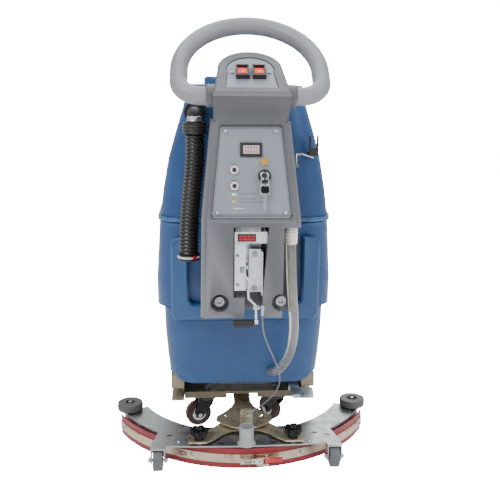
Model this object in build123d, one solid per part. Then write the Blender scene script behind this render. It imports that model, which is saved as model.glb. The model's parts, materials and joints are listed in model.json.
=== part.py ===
from build123d import *
import math
import os

# Walk-behind wet dry floor scrubber.  Millimetres, +X to the operator's right,
# +Y forward, +Z up.  The origin is on the floor below the middle of the machine.

# ---- driving dimensions -------------------------------------------------------
WALL = 6                      # moulded plastic wall
GAP = 0.5                     # clearance between pieces that move past each other
FIT = 0.08                    # radial clearance of a running shaft

COLUMN_FRONT = -392           # face of the column towards the tanks
COLUMN_SECTIONS = [(446, 118, -584), (684, 115, -606), (905, 93, -545)]
RIDGE_Y, RIDGE_Z = -602, 970  # rear lip of the switch head
HEAD_SLOPE = 29.4
HEAD_TOP_V = 197

HANDLE_Y, HANDLE_Z = -553, 963
HANDLE_SLOPE = 41.6
HANDLE_RADIUS = 21
HANDLE_HALF = 165
HANDLE_STRAIGHT = 83

TANK_REAR, TANK_FRONT = -360, 390
LOWER_SECTIONS = [(186, 188), (206, 205), (262, 211), (330, 216), (397, 218)]
UPPER_BAND_SECTIONS = [(402, 236), (470, 237), (550, 232), (632, 227)]
RECOVERY_SECTIONS = [(636, 226), (720, 215), (800, 200), (860, 183), (930, 161), (985, 148)]

WHEEL_R, WHEEL_W = 100, 40
DRIVE_X, DRIVE_Y = 142, 20
RAIL_X, RAIL_W = 185, 36
RAIL_LOW, RAIL_HIGH = 108, 150

CASTER_X, CASTER_Y = 103, -220
CASTER_R, CASTER_TRAIL = 37.5, 26
CASTER_TURN = {"left": 196, "right": 128}

DECK_Y, DECK_R = 388, 225
DECK_HINGE = (154, 176)       # Y and Z

ARM_HINGE = (0, -150, 90)
SWING_PIVOT = (0, -313)
BLADE_CENTRE_Y = -104
BLADE_R = 388
BLADE_SPAN = 64
PLATE_TOP = 64
YOKE_LOW = 70
FAN_LOW = 80
ROLLER_AT = (324, -258)
SUPPORT_AT = (232, -490)
SUPPORT_R = 28.5
KNOB_AT = (124, -468)
PORT_Y = -480

LEVER_PIVOT = (-8, -560, 566)
BALL = (27, -604, 478)
TAB_BOLT = (7, -445, 130)

# Routes of the hoses and the cable, point by point from where each one starts.
DRAIN_ROUTE = [(-130, -461, 896), (-128.5, -461, 846), (-131, -463, 790), (-138, -468, 732),
               (-143, -472, 676), (-146, -474, 622), (-146, -472, 578)]
DRAIN_DIAMETER = 48
LEVEL_ROUTE = [(96, -562, 622), (97, -564, 576), (100, -562, 526), (105, -554, 474), (111, -538, 422),
               (114, -512, 370), (112, -480, 322), (105, -448, 282), (94, -418, 250), (82, -392, 229),
               (72, -368, 220)]
LEVEL_DIAMETER = 24
CABLE_ROUTE = [(27, -604, 459), (27.6, -602, 438), (31, -595, 412), (41, -582, 380), (55, -566, 345),
               (69, -550, 311), (79, -533, 277), (80, -516, 243), (71, -498, 213), (56, -481, 188),
               (41, -468, 167), (26, -457, 150)]
CABLE_DIAMETER = 4


# ---- shape helpers -------------------------------------------------------------
def block(x0, x1, y0, y1, z0, z1):
    return Pos((x0 + x1) / 2, (y0 + y1) / 2, (z0 + z1) / 2) * Box(x1 - x0, y1 - y0, z1 - z0)


def rod(start, end, radius):
    start, end = Vector(*start), Vector(*end)
    low = (Align.CENTER, Align.CENTER, Align.MIN)
    return Plane(origin=start, z_dir=end - start) * Cylinder(radius, (end - start).length, align=low)


def disc(x, y, z0, z1, radius):
    return rod((x, y, z0), (x, y, z1), radius)


def prism_x(points, x0, x1):
    outline = make_face(Polyline([(x0, y, z) for y, z in points], close=True))
    return extrude(outline, amount=x1 - x0, dir=(1, 0, 0))


def prism_y(points, y0, y1):
    outline = make_face(Polyline([(x, y0, z) for x, z in points], close=True))
    return extrude(outline, amount=y1 - y0, dir=(0, 1, 0))


def prism_z(points, z0, z1):
    outline = make_face(Polyline([(x, y, z0) for x, y in points], close=True))
    return extrude(outline, amount=z1 - z0, dir=(0, 0, 1))


def section(z, half_width, rear, front, radius):
    depth = front - rear
    return (Pos(0, (rear + front) / 2, z) * RectangleRounded(2 * half_width, depth, radius)).face()


def mirrored(shape):
    return mirror(shape, about=Plane.YZ)


def arc_band(inner, outer, z0, z1, span=BLADE_SPAN, centre_y=BLADE_CENTRE_Y):
    """A curved wall about the blade centre, open to the front, from -span to +span degrees."""
    ring = disc(0, centre_y, z0, z1, outer) - disc(0, centre_y, z0 - 1, z1 + 1, inner)
    reach = 3 * outer
    side = math.radians(span)
    wedge = [(0, centre_y), (-reach * math.sin(side), centre_y - reach * math.cos(side)),
             (-reach, centre_y - 2 * reach), (reach, centre_y - 2 * reach),
             (reach * math.sin(side), centre_y - reach * math.cos(side))]
    return ring & prism_z(wedge, z0 - 1, z1 + 1)


def cord_tube(name, route, diameter):
    """A tube of straight runs and tangent arcs; it prints its radii and its length."""
    points = [Vector(*point) for point in route]
    radii = []
    for before, here, after in zip(points, points[1:], points[2:]):
        turn = math.radians((here - before).get_angle(after - here))
        shorter = min((here - before).length, (after - here).length)
        radii.append(0.45 * shorter / math.tan(turn / 2))
    path = FilletPolyline(*points, radius=radii)
    start = Plane(origin=points[0], z_dir=points[1] - points[0])
    tube = sweep(start * Circle(diameter / 2), path=path)
    expected = math.pi * diameter ** 2 / 4 * path.length
    print(name, "length", round(path.length, 1), "smallest radius", round(min(radii), 1),
          "volume ratio", round(tube.volume / expected, 4))
    return tube


HEAD = Plane(origin=(0, RIDGE_Y, RIDGE_Z), x_dir=(1, 0, 0),
             z_dir=(0, -math.sin(math.radians(HEAD_SLOPE)), math.cos(math.radians(HEAD_SLOPE))))
PANEL_LOW, PANEL_HIGH = COLUMN_SECTIONS[1], COLUMN_SECTIONS[2]
PANEL_LENGTH = math.dist((PANEL_LOW[2], PANEL_LOW[0]), (PANEL_HIGH[2], PANEL_HIGH[0]))
PANEL_RISE = (PANEL_HIGH[0] - PANEL_LOW[0]) / PANEL_LENGTH
PANEL_RUN = (PANEL_HIGH[2] - PANEL_LOW[2]) / PANEL_LENGTH
PANEL_NORMAL = (0, -PANEL_RISE, PANEL_RUN)
PANEL = Plane(origin=(0, PANEL_LOW[2], PANEL_LOW[0]), x_dir=(1, 0, 0), z_dir=PANEL_NORMAL)


def on(plane, u, v, shape, w=0):
    """Place a shape made about the origin at (u, v) on a sloping face, w above it."""
    return plane * Pos(u, v, w) * shape


def stub(radius, low, high):
    """A short cylinder standing on a face, from low to high above it."""
    return Pos(0, 0, low) * Cylinder(radius, high - low, align=(Align.CENTER, Align.CENTER, Align.MIN))


# ---- control column and handle ------------------------------------------------------
def tombstone(plane, foot, low_half, shoulder, high_half, top):
    """A face with straight sides that lean in, closed by one arc at the top."""
    sides = [(-high_half, shoulder), (-low_half, foot), (low_half, foot), (high_half, shoulder)]
    edges = Polyline(sides) + ThreePointArc((high_half, shoulder), (0, top), (-high_half, shoulder))
    return plane * make_face(edges)


def handle_path(plane):
    corner = 48
    half, straight = HANDLE_HALF, HANDLE_STRAIGHT
    lines = [Line((-half + corner, 0), (half - corner, 0)),
             RadiusArc((half - corner, 0), (half, corner), -corner),
             Line((half, corner), (half, straight)),
             ThreePointArc((half, straight), (0, straight + half), (-half, straight)),
             Line((-half, straight), (-half, corner)),
             RadiusArc((-half, corner), (-half + corner, 0), -corner)]
    return plane * Wire([line.edge() for line in lines])


def make_handle():
    slope = math.radians(HANDLE_SLOPE)
    plane = Plane(origin=(0, HANDLE_Y, HANDLE_Z), x_dir=(1, 0, 0),
                  z_dir=(0, -math.sin(slope), math.cos(slope)))
    path = handle_path(plane)
    start = Plane(origin=plane.from_local_coords((0, 0)), z_dir=(1, 0, 0))
    half_path = path
    return sweep(start * Circle(HANDLE_RADIUS), path=half_path)


def column_solid(inset):
    shell = []
    low_trim = {446: inset, 684: 0, 905: -inset}
    for z, half, rear in COLUMN_SECTIONS:
        height = z + low_trim[z]
        shell.append(section(height, half - inset, rear + inset, COLUMN_FRONT - inset, 14 - inset / 2))
    return loft(shell, ruled=True)


def head_solid():
    outline = tombstone(HEAD, -40, 92, 118, 76, HEAD_TOP_V)
    stack = extrude(outline, amount=260, dir=-HEAD.z_dir)
    top_y = -425
    top_z = RIDGE_Z + (top_y - RIDGE_Y) * math.tan(math.radians(HEAD_SLOPE))
    crease = COLUMN_SECTIONS[2]
    profile = [(crease[2], crease[0]), (RIDGE_Y, RIDGE_Z), (top_y, top_z), (COLUMN_FRONT, top_z - 60),
               (COLUMN_FRONT, crease[0])]
    head = stack & prism_x(profile, -120, 120)
    rim = [edge for edge in head.edges() if edge.center().Z > RIDGE_Z - 2]
    return fillet(rim, 7)


def slot_outline(grow):
    """The lever recess in the column face, seen from behind."""
    return [(-41 - grow, 670 + grow), (41 + grow, 670 + grow), (29 + grow, 497), (29 + grow, 440 - grow),
            (-14 - grow, 440 - grow), (-14 - grow, 497 - grow), (-41 - grow, 497 - grow)]


BOLT_X, BOLT_Z, POCKET_FLOOR = 73, 484, -566
HOSE_BAY_Y = -530                # back of the channel for the level hose


def make_column(handle):
    column = column_solid(0) + head_solid()
    hose_bay = block(76, 130, -640, HOSE_BAY_Y, 440, 668)
    hose_bay += rod((88, HOSE_BAY_Y, 668), (88, HOSE_BAY_Y, 440), 8)
    cavity = column_solid(WALL)
    cavity -= prism_y(slot_outline(WALL), -640, -512)
    cavity -= block(70, 130, -640, -522, 440, 674)
    head_space = [(-538, 890), (-534, 905), (-578, 955), (-470, 1014), (-440, 1000), (-440, 890)]
    cavity += prism_x(head_space, -52, 52)
    for side in (-1, 1):
        cavity -= rod((side * BOLT_X, -640, BOLT_Z), (side * BOLT_X, -380, BOLT_Z), 29)
    column -= cavity
    column -= prism_y(slot_outline(0), -640, -518)
    column -= hose_bay
    for side in (-1, 1):
        column -= rod((side * BOLT_X, -640, BOLT_Z), (side * BOLT_X, POCKET_FLOOR, BOLT_Z), 22)
        column -= rod((side * BOLT_X, -640, BOLT_Z), (side * BOLT_X, -380, BOLT_Z), 5.2)
    column -= extrude(panel_face(0), amount=-4)
    column -= on(PANEL, 0, 118, Box(126, 170, 30))
    column -= extrude(switch_face(0), amount=-4)
    column -= on(HEAD, 0, 92, Box(80, 60, 60))
    for place in PANEL_SCREWS:
        column -= on(PANEL, *place, stub(2, -10, 0))
    for place in SWITCH_SCREWS:
        column -= on(HEAD, *place, stub(2, -8, 0))
    column += block(96, 118, -507, -493, 796, 803.6)
    for side in (-1, 1):
        fairing = rod((side * 84, HANDLE_Y, HANDLE_Z), (side * 104, HANDLE_Y, HANDLE_Z), 26)
        column += chamfer(fairing.edges().filter_by(lambda e: abs(e.center().X) > 100), 4.5)
    return column - handle


def panel_face(inset):
    """The trapezoid of the control panel, with rounded corners."""
    corners = [(-94 + inset, 5 + inset), (94 - inset, 5 + inset), (73 - inset, 222 - inset),
               (-73 + inset, 222 - inset)]
    return PANEL * make_face(FilletPolyline(*corners, radius=9 - inset, close=True))


def switch_face(inset):
    return tombstone(HEAD, 26 + inset, 60 - inset, 95, 54 - inset, 165 - inset)


METER_AT = (0, 165)
LAMP_AT = (30, 137)
LOCK_AT = (30, 104)
BREAKERS_AT = {"upper": (-39, 118), "lower": (-39, 81)}
PANEL_SCREWS = [(-58, 208), (58, 208), (-78, 20), (78, 20)]
SWITCH_X, SWITCH_V = 19, 90
SWITCH_SCREWS = [(-43, 94), (43, 94)]


def make_panel():
    panel = extrude(panel_face(3), amount=-4) - extrude(panel_face(2), amount=-2)
    panel -= on(PANEL, *METER_AT, Box(46, 28, 20))
    panel -= on(PANEL, *LAMP_AT, stub(6, -10, 10))
    panel -= on(PANEL, *LOCK_AT, stub(9, -10, 10))
    for place in BREAKERS_AT.values():
        panel -= on(PANEL, *place, stub(6, -10, 10))
    for place in PANEL_SCREWS:
        panel -= on(PANEL, *place, stub(2.2, -10, 10))
    return panel


def make_switch_plate():
    plate = extrude(switch_face(2), amount=-4) - extrude(switch_face(1), amount=-2)
    for side in (-1, 1):
        plate -= on(HEAD, side * SWITCH_X, SWITCH_V, Box(27, 44, 20))
    for place in SWITCH_SCREWS:
        plate -= on(HEAD, *place, stub(2.2, -10, 10))
    return plate


def make_switch_housings():
    housings = Part()
    for side in (-1, 1):
        body = on(HEAD, side * SWITCH_X, SWITCH_V, Box(31, 48, 10), 3)
        body += on(HEAD, side * SWITCH_X, SWITCH_V, Box(26.6, 43.6, 24), -12)
        body -= on(HEAD, side * SWITCH_X, SWITCH_V, Box(23, 38, 18), 6)
        housings += body
    return housings


def make_rocker(side):
    """A rocker cap: a shallow V over its pivot, tilted to one side at rest."""
    profile = [(-17, 1.5), (0, 0), (17, -3.5), (17, -5.5), (4, -8), (-4, -8), (-17, -4)]
    points = [HEAD.from_local_coords((side * SWITCH_X - 10.5, SWITCH_V + v, 8 + w)) for v, w in profile]
    cap = extrude(make_face(Polyline(*points, close=True)), amount=21, dir=(1, 0, 0))
    return cap


def make_meter():
    bezel = on(PANEL, *METER_AT, Box(51, 33, 4), 0)
    bezel = fillet(bezel.edges().filter_by(Axis.X), 1)
    return bezel + on(PANEL, *METER_AT, Box(45.8, 27.8, 22), -11)


def make_lamp():
    return on(PANEL, *LAMP_AT, stub(8, -2, 1) + stub(5.9, -16, 1)) + on(PANEL, *LAMP_AT, Sphere(5), 1)


def make_collars():
    collars = on(PANEL, *LOCK_AT, stub(15, -2, 4) + stub(8.9, -30, 0) - stub(5, -28, 10))
    for place in BREAKERS_AT.values():
        collars += on(PANEL, *place, stub(8.5, -2, 3) + stub(5.9, -24, 0) - stub(3.4, -22, 10))
    return collars


KEY_HOLE = (LOCK_AT[0], LOCK_AT[1] - 6, 15)     # u, v and height above the panel


def make_key():
    shaft = on(PANEL, *LOCK_AT, stub(4.9, -20, 4.5))
    bow = on(PANEL, *LOCK_AT, Box(2.4, 22, 20), 15)
    bow -= on(PANEL, KEY_HOLE[0], KEY_HOLE[1], Rot(0, 90, 0) * Cylinder(2.4, 10), KEY_HOLE[2])
    return shaft + on(PANEL, *LOCK_AT, Box(2.4, 8, 4), 5) + bow


def make_key_ring():
    """A split ring through the key, with a spare key hanging from it along the panel."""
    radius = 9.2
    u, v, w = KEY_HOLE
    ring = on(PANEL, u, v - radius, Torus(radius, 0.9), w)
    spare = Pos(0, -17.5, 0) * Box(22, 25, 3) - Pos(0, -9, 0) * Cylinder(3, 10)
    spare += Pos(0, -46, 0) * Box(8, 32, 2)
    for tooth in range(4):
        spare -= Pos(4, -57 + 6 * tooth, 0) * Box(3, 2.5, 4)
    return Compound(children=[ring, on(PANEL, u, v - radius, spare, w - 2.8)])


def make_button(place):
    return on(PANEL, *place, stub(3.3, -16, 6)) + on(PANEL, *place, stub(4.4, 6, 8.5))


# ---- lift lever ---------------------------------------------------------------------
def make_lever_bracket():
    cross = block(-38, 38, -588, -585, 628, 656)
    left = block(-38, -12, -588, -585, 515, 628) - block(-26, -14, -590, -580, 558, 574)
    sides = block(-38, -35, -585, -518, 515, 656) + block(35, 38, -585, -518, 628, 656)
    inner = block(-2, 29, -548, -545, 500, 606) + block(26, 29, -580, -548, 500, 606)
    back = block(-38, 28, -521, -518, 500, 656) + block(-2, 4, -545, -518, 500, 606)
    pin = rod((-35, LEVER_PIVOT[1], LEVER_PIVOT[2]), (-5, LEVER_PIVOT[1], LEVER_PIVOT[2]), 4)
    bracket = cross + left + sides + inner + back + pin
    return bracket


def lever_rod(points, radius):
    corners = [8] * (len(points) - 2)
    path = FilletPolyline(*points, radius=corners)
    start = Plane(origin=points[0], z_dir=Vector(*points[1]) - Vector(*points[0]))
    return sweep(start * Circle(radius), path=path)


def make_lever():
    x, y, z = LEVER_PIVOT
    eye = rod((x - 2.5, y, z), (x + 2.5, y, z), 9)
    route = [(x, y - 3, z - 3), (x, -592, 546), (-7, -603, 522), (-6, -603, 500), (12, -604, 482),
             (12, -604, 448)]
    bar = lever_rod(route, 3)
    ball_arm = rod((5, BALL[1], BALL[2]), (BALL[0] - 6, BALL[1], BALL[2]), 3.5)
    collar = rod((6, BALL[1], BALL[2]), (18, BALL[1], BALL[2]), 5.5)
    lever = eye + bar + ball_arm + collar + rod((12, -604, 439), (12, -604, 449), 6)
    return lever - rod((x - 9, y, z), (x + 9, y, z), 4 + FIT)


def make_grip():
    grip = rod((-42, -604, 439), (6, -604, 439), 9)
    return fillet(grip.edges().filter_by(GeomType.CIRCLE), 3) + rod((6, -604, 439), (12, -604, 439), 4) \
        - rod((12, -604, 430), (12, -604, 450), 6)


def make_cable_ends():
    top = Pos(*BALL) * Sphere(6) + rod((BALL[0], BALL[1], 459), BALL, 4)
    x, y, z = TAB_BOLT
    crimp = rod(CABLE_ROUTE[-1], (x + 6, y, z + 7), 3.4)
    eye = Pos(x, y, z) * Rot(90, 0, 0) * Torus(8.5, 1.2)
    return top, crimp + eye


# ---- tanks ----------------------------------------------------------------------------
def tank_stack(rows, inset, radius, rear=TANK_REAR, front=TANK_FRONT):
    faces = [section(z, half - inset, rear + inset, front - inset, radius - inset) for z, half in rows]
    return loft(faces, ruled=True)


def trimmed(rows, inset):
    """The same stack of sections with its end faces moved in by one wall."""
    inner = list(rows)
    inner[0] = (rows[0][0] + inset, rows[0][1])
    inner[-1] = (rows[-1][0] - inset, rows[-1][1])
    return inner


def lower_stack(inset):
    low = tank_stack(trimmed(LOWER_SECTIONS, inset) if inset else LOWER_SECTIONS, inset, 62)
    band = tank_stack(trimmed(UPPER_BAND_SECTIONS, inset) if inset else UPPER_BAND_SECTIONS, inset, 70)
    step = [(397 - inset, 218), (402 + inset, 236)]
    return low + tank_stack(step, inset, 66) + band


RECOVERY_HINGE = (402, 648)      # Y and Z of the tilt axis
HINGE_EAR = (51, 61)             # inner and outer X of the ears of the tilt hinge
WELL = (-140, 140, -250, 110, 268)
TUNNEL = (-172, 172, -95, 135, 224)
DECK_ROOM = (-300, 300, 118, 500, 352)


def make_solution_tank():
    tank = lower_stack(0)
    tank += rear_band()
    x0, x1, y0, y1, z0 = WELL
    well = block(x0, x1, y0, y1, z0, 700)
    cavity = lower_stack(WALL) - block(x0 - WALL, x1 + WALL, y0 - WALL, y1 + WALL, z0 - WALL, 700)
    x0, x1, y0, y1, z1 = TUNNEL
    tank -= block(x0, x1, y0, y1, 0, z1)
    cavity -= block(x0 - WALL, x1 + WALL, y0 - WALL, y1 + WALL, 0, z1 + WALL)
    x0, x1, y0, y1, z1 = DECK_ROOM
    tank -= block(x0, x1, y0, y1, 0, z1)
    cavity -= block(x0, x1, y0 - WALL, y1, 0, z1 + WALL)
    tank -= cavity
    tank -= well
    neck = rod((0, TANK_FRONT - 30, 560), (0, TANK_FRONT + 22, 584), 42)
    tank += neck - cavity
    tank -= rod((0, TANK_FRONT - 60, 546), (0, TANK_FRONT + 60, 602), 34)
    for side in (-1, 1):
        tank += rod((side * BOLT_X, TANK_REAR + 3, BOLT_Z), (side * BOLT_X, COLUMN_FRONT, BOLT_Z), 24)
        tank -= rod((side * BOLT_X, -350, BOLT_Z), (side * BOLT_X, COLUMN_FRONT - 1, BOLT_Z), 5.2)
    barb_x, barb_y, barb_z = LEVEL_ROUTE[-1]
    tank += rod((barb_x, TANK_REAR + 3, barb_z), (barb_x, barb_y - 4, barb_z), 9)
    y, z = RECOVERY_HINGE
    near, far = HINGE_EAR
    ear = block(near, far, TANK_FRONT - 4, y + 10, z - 52, z + 10)
    tank += ear + mirrored(ear)
    return tank - rod((-far - 1, y, z), (far + 1, y, z), 5)


def rear_band():
    """The raised U around the foot of the column, with the hose channel left open."""
    outer_line = FilletPolyline((-196, 372), (-196, 600), (196, 600), (196, 372), radius=26, close=True)
    inner_line = FilletPolyline((-150, 418), (-150, 660), (150, 660), (150, 418), radius=20, close=True)
    band = extrude(Plane.XZ.offset(386) * make_face(outer_line), amount=-30)
    band -= extrude(Plane.XZ.offset(400) * make_face(inner_line), amount=-60)
    return chamfer(band.edges().filter_by(lambda e: e.center().Y < -385), 5)


LID_HALF, LID_REAR, LID_FRONT = 105, -210, 170
LID_HINGE = (180, 993)
ELBOW_AT = (-130, 918)           # X and Z of the drain port


def make_recovery_tank():
    front = TANK_FRONT - 12
    tank = tank_stack(RECOVERY_SECTIONS, 0, 62, TANK_REAR, front)
    lip = tank_stack([(636, 231), (648, 230)], 0, 66, TANK_REAR - 4, front + 4)
    cavity = tank_stack(trimmed(RECOVERY_SECTIONS, WALL), WALL, 62, TANK_REAR, front)
    tank = tank + lip - cavity
    tank -= block(-LID_HALF + 12, LID_HALF - 12, LID_REAR + 12, LID_FRONT - 12, 960, 1000)
    tank -= rod((ELBOW_AT[0], -400, ELBOW_AT[1]), (ELBOW_AT[0], -300, ELBOW_AT[1]), 17)
    y, z = RECOVERY_HINGE
    hinge = block(-40, 40, front - 3, y, z - 6, z + 6) + block(-40, 40, front - 3, front + 6, z - 6, z + 46)
    hinge += rod((-40, y, z), (40, y, z), 9)
    tank = tank + hinge - rod((-45, y, z), (45, y, z), 5 + FIT)
    y, z = LID_HINGE
    for side in (-1, 1):
        tank += block(min(62 * side, 70 * side), max(62 * side, 70 * side), y - 6, y + 6, 984, z + 5)
        tank += rod((side * 50, y, z), (side * 64, y, z), 2.5)
    return tank


def make_recovery_lid():
    outline = RectangleRounded(2 * LID_HALF, LID_FRONT - LID_REAR, 40)
    cover = extrude(Pos(0, (LID_FRONT + LID_REAR) / 2, 985.5) * outline, amount=22)
    cover = fillet(cover.edges().group_by(Axis.Z)[-1], 9)
    plug = block(-LID_HALF + 14, LID_HALF - 14, LID_REAR + 14, LID_FRONT - 14, 975, 986)
    y, z = LID_HINGE
    barrel = rod((-60, y, z), (60, y, z), 5) + block(-60, 60, LID_FRONT - 12, y, z - 4, z + 4)
    lid = cover + plug + barrel
    for side in (-1, 1):
        lid -= rod((side * 48, y, z), (side * 62, y, z), 2.5 + FIT)
    return lid


def make_vacuum_motor():
    body = disc(0, 262, 872, 979, 62) + disc(0, 262, 850, 872, 45)
    return body + rod((0, 215, 900), (0, 150, 900), 20)


def make_drain_fittings():
    """The rigid elbow at the tank, the two cuffs and the end plug of the drain hose."""
    x, z = ELBOW_AT
    bend = FilletPolyline((x, TANK_REAR - 1, z), (x, -461, z), (x, -461, 897), radius=20)
    start = Plane(origin=(x, TANK_REAR - 1, z), z_dir=(0, -1, 0))
    elbow = sweep(start * Circle(17), path=bend)
    flange = rod((x, TANK_REAR - 1, z), (x, TANK_REAR - 9, z), 27)
    cuff_top = rod((x, -461, 899), (x, -461, 872), 28) - rod((x, -461, 896), (x, -461, 860), 24.6)
    low = Vector(*DRAIN_ROUTE[-1])
    plug = rod(tuple(low), tuple(low - Vector(0, 0, 14)), 27)
    clip = block(-122, -118, -482, -462, 566, 578)
    return elbow + flange + cuff_top, plug + clip


def make_tank_catch(tank):
    """The fork on the rear corner of the recovery tank."""
    foot = prism_z([(160, -382), (184, -382), (184, -333), (160, -351)], 812, 818)
    prongs = block(160, 165, -382, -376, 818, 862) + block(179, 184, -382, -376, 818, 862)
    return foot + prongs + block(160, 184, -382, -376, 818, 832) - tank


CATCH_PIVOT = (112, -500)


def make_catch_rod():
    x, y = CATCH_PIVOT
    points = [(x, y, 804), (x, y, 826), (x + 22, y + 60, 822), (172, -372, 806)]
    path = FilletPolyline(*points, radius=[6, 12])
    start = Plane(origin=points[0], z_dir=(0, 0, 1))
    return sweep(start * Circle(2.5), path=path)


# ---- frame, axle, casters --------------------------------------------------------------
def make_frame():
    rail = block(RAIL_X - RAIL_W / 2, RAIL_X + RAIL_W / 2, -300, 142, RAIL_LOW, RAIL_HIGH)
    rail -= block(RAIL_X - RAIL_W / 2 + 4, 300, -301, 143, RAIL_LOW + 4, RAIL_HIGH - 4)
    inner = RAIL_X - RAIL_W / 2
    frame = rail + mirrored(rail)
    lap = inner + 12
    frame += block(-lap, lap, -250, -130, 104, RAIL_LOW)
    frame += block(-inner, -45, -250, -246, 92, 104) + block(45, inner, -250, -246, 92, 104)
    frame += block(-inner - 4, inner + 4, -250, -246, 104, 112)
    frame += block(-inner, inner, -134, -110, 108, 150)
    frame += block(-inner, inner, 126, 142, 108, 150)
    frame += block(-60, 60, -112, 128, 146, 150)
    frame += block(-120, 120, 134, 142, 150, 330)
    for side in (-1, 1):
        x = side * RAIL_X
        frame += block(x - 18, x + 18, -300, -250, RAIL_HIGH, 186)
        frame += block(x - 18, x + 18, 108, 118, RAIL_HIGH, 186)
        lug = block(side * 29 - 3, side * 29 + 3, -162, -138, 82, 104)
        frame += lug - rod((side * 29 - 9, *ARM_HINGE[1:]), (side * 29 + 9, *ARM_HINGE[1:]), 5)
        ear = block(side * 60 - 4, side * 60 + 4, 142, 166, 160, 192)
        frame += ear
        frame -= rod((side * CASTER_X, CASTER_Y, 100), (side * CASTER_X, CASTER_Y, 120), 6)
    frame -= rod((-80, *DECK_HINGE), (80, *DECK_HINGE), 6)
    frame += rod((PEDAL_PIVOT[0] - 20, *PEDAL_PIVOT[1:]), (inner + 2, *PEDAL_PIVOT[1:]), 6)
    return frame


PEDAL_PIVOT = (150, -268, 132)


def make_rear_plate():
    plate = block(-104, 104, -190, -186, 108, 160)
    plate += block(-104, 104, -190, -160, 160, 163)
    return plate - block(-82, 40, -200, -180, 138, 150)


def make_pedal():
    x, y, z = PEDAL_PIVOT
    boss = rod((x - 17, y, z), (x + 12, y, z), 11)
    arm_line = [(y - 6, z - 7), (y - 6, z + 7), (-318, 146), (-350, 142), (-350, 137), (-318, 138)]
    arm = prism_x(arm_line, x - 14, x + 8)
    tread = extrude(Plane(origin=(166, -333, 139), x_dir=(1, 0, 0), z_dir=(0, -0.25, 0.97)) *
                    RectangleRounded(62, 44, 9), amount=4)
    pedal = boss + arm + tread
    return pedal - rod((x - 30, y, z), (x + 30, y, z), 6 + FIT)


def make_drive_axle():
    axle = rod((-DRIVE_X - 24, DRIVE_Y, WHEEL_R), (DRIVE_X + 24, DRIVE_Y, WHEEL_R), 10)
    axle += rod((-DRIVE_X + 23, DRIVE_Y, WHEEL_R), (DRIVE_X - 23, DRIVE_Y, WHEEL_R), 24)
    case = block(-45, 45, DRIVE_Y - 50, DRIVE_Y + 50, 60, 146)
    motor = rod((0, DRIVE_Y + 40, 98), (0, DRIVE_Y + 104, 98), 38)
    return axle + fillet(case.edges().filter_by(Axis.X), 14) + motor


def make_drive_wheel(side):
    x = side * DRIVE_X
    tyre = rod((x - WHEEL_W / 2, DRIVE_Y, WHEEL_R), (x + WHEEL_W / 2, DRIVE_Y, WHEEL_R), WHEEL_R)
    tyre = fillet(tyre.edges().filter_by(GeomType.CIRCLE), 8)
    for face in (-1, 1):
        tyre -= rod((x + face * 12, DRIVE_Y, WHEEL_R), (x + face * 30, DRIVE_Y, WHEEL_R), 66)
    hub = rod((x - 20, DRIVE_Y, WHEEL_R), (x + 20, DRIVE_Y, WHEEL_R), 26)
    bore = rod((x - 30, DRIVE_Y, WHEEL_R), (x + 30, DRIVE_Y, WHEEL_R), 10 + FIT)
    return tyre + hub - bore


def caster_frame(side):
    """The caster's own axes: x along the trail, z up, from the swivel centre on the floor."""
    turn = CASTER_TURN["right" if side > 0 else "left"]
    return Plane(origin=(side * CASTER_X, CASTER_Y, 0), x_dir=(1, 0, 0), z_dir=(0, 0, 1)) * Rot(0, 0, turn)


def make_fork(side):
    crown = disc(0, 0, 82, 91, 27) + disc(0, 0, 91, 103.5, 21)
    legs = Part()
    for cheek in (-1, 1):
        outline = [(-20, 88), (27, 88), (CASTER_TRAIL + 14, 46), (CASTER_TRAIL + 10, 28),
                   (CASTER_TRAIL - 8, 26), (-14, 66)]
        low = min(cheek * 14, cheek * 17)
        legs += prism_y(outline, low, low + 3)
    axle = rod((CASTER_TRAIL, -21, CASTER_R), (CASTER_TRAIL, 21, CASTER_R), 4)
    nuts = rod((CASTER_TRAIL, -22, CASTER_R), (CASTER_TRAIL, -17, CASTER_R), 7)
    nuts += rod((CASTER_TRAIL, 17, CASTER_R), (CASTER_TRAIL, 22, CASTER_R), 7)
    top = block(-16, 24, -17, 17, 79, 84)
    fork = crown + legs + axle + nuts + top
    fork -= rod((0, 0, 78), (0, 0, 110), 6 + FIT)
    return caster_frame(side) * fork


def make_caster_wheel(side):
    a, b = (CASTER_TRAIL, -12, CASTER_R), (CASTER_TRAIL, 12, CASTER_R)
    wheel = fillet(rod(a, b, CASTER_R).edges().filter_by(GeomType.CIRCLE), 4)
    for face in (-1, 1):
        wheel -= rod((CASTER_TRAIL, face * 9, CASTER_R), (CASTER_TRAIL, face * 14, CASTER_R), 22)
    wheel += rod(a, b, 9)
    wheel -= rod((CASTER_TRAIL, -20, CASTER_R), (CASTER_TRAIL, 20, CASTER_R), 4 + FIT)
    return caster_frame(side) * wheel


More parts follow.
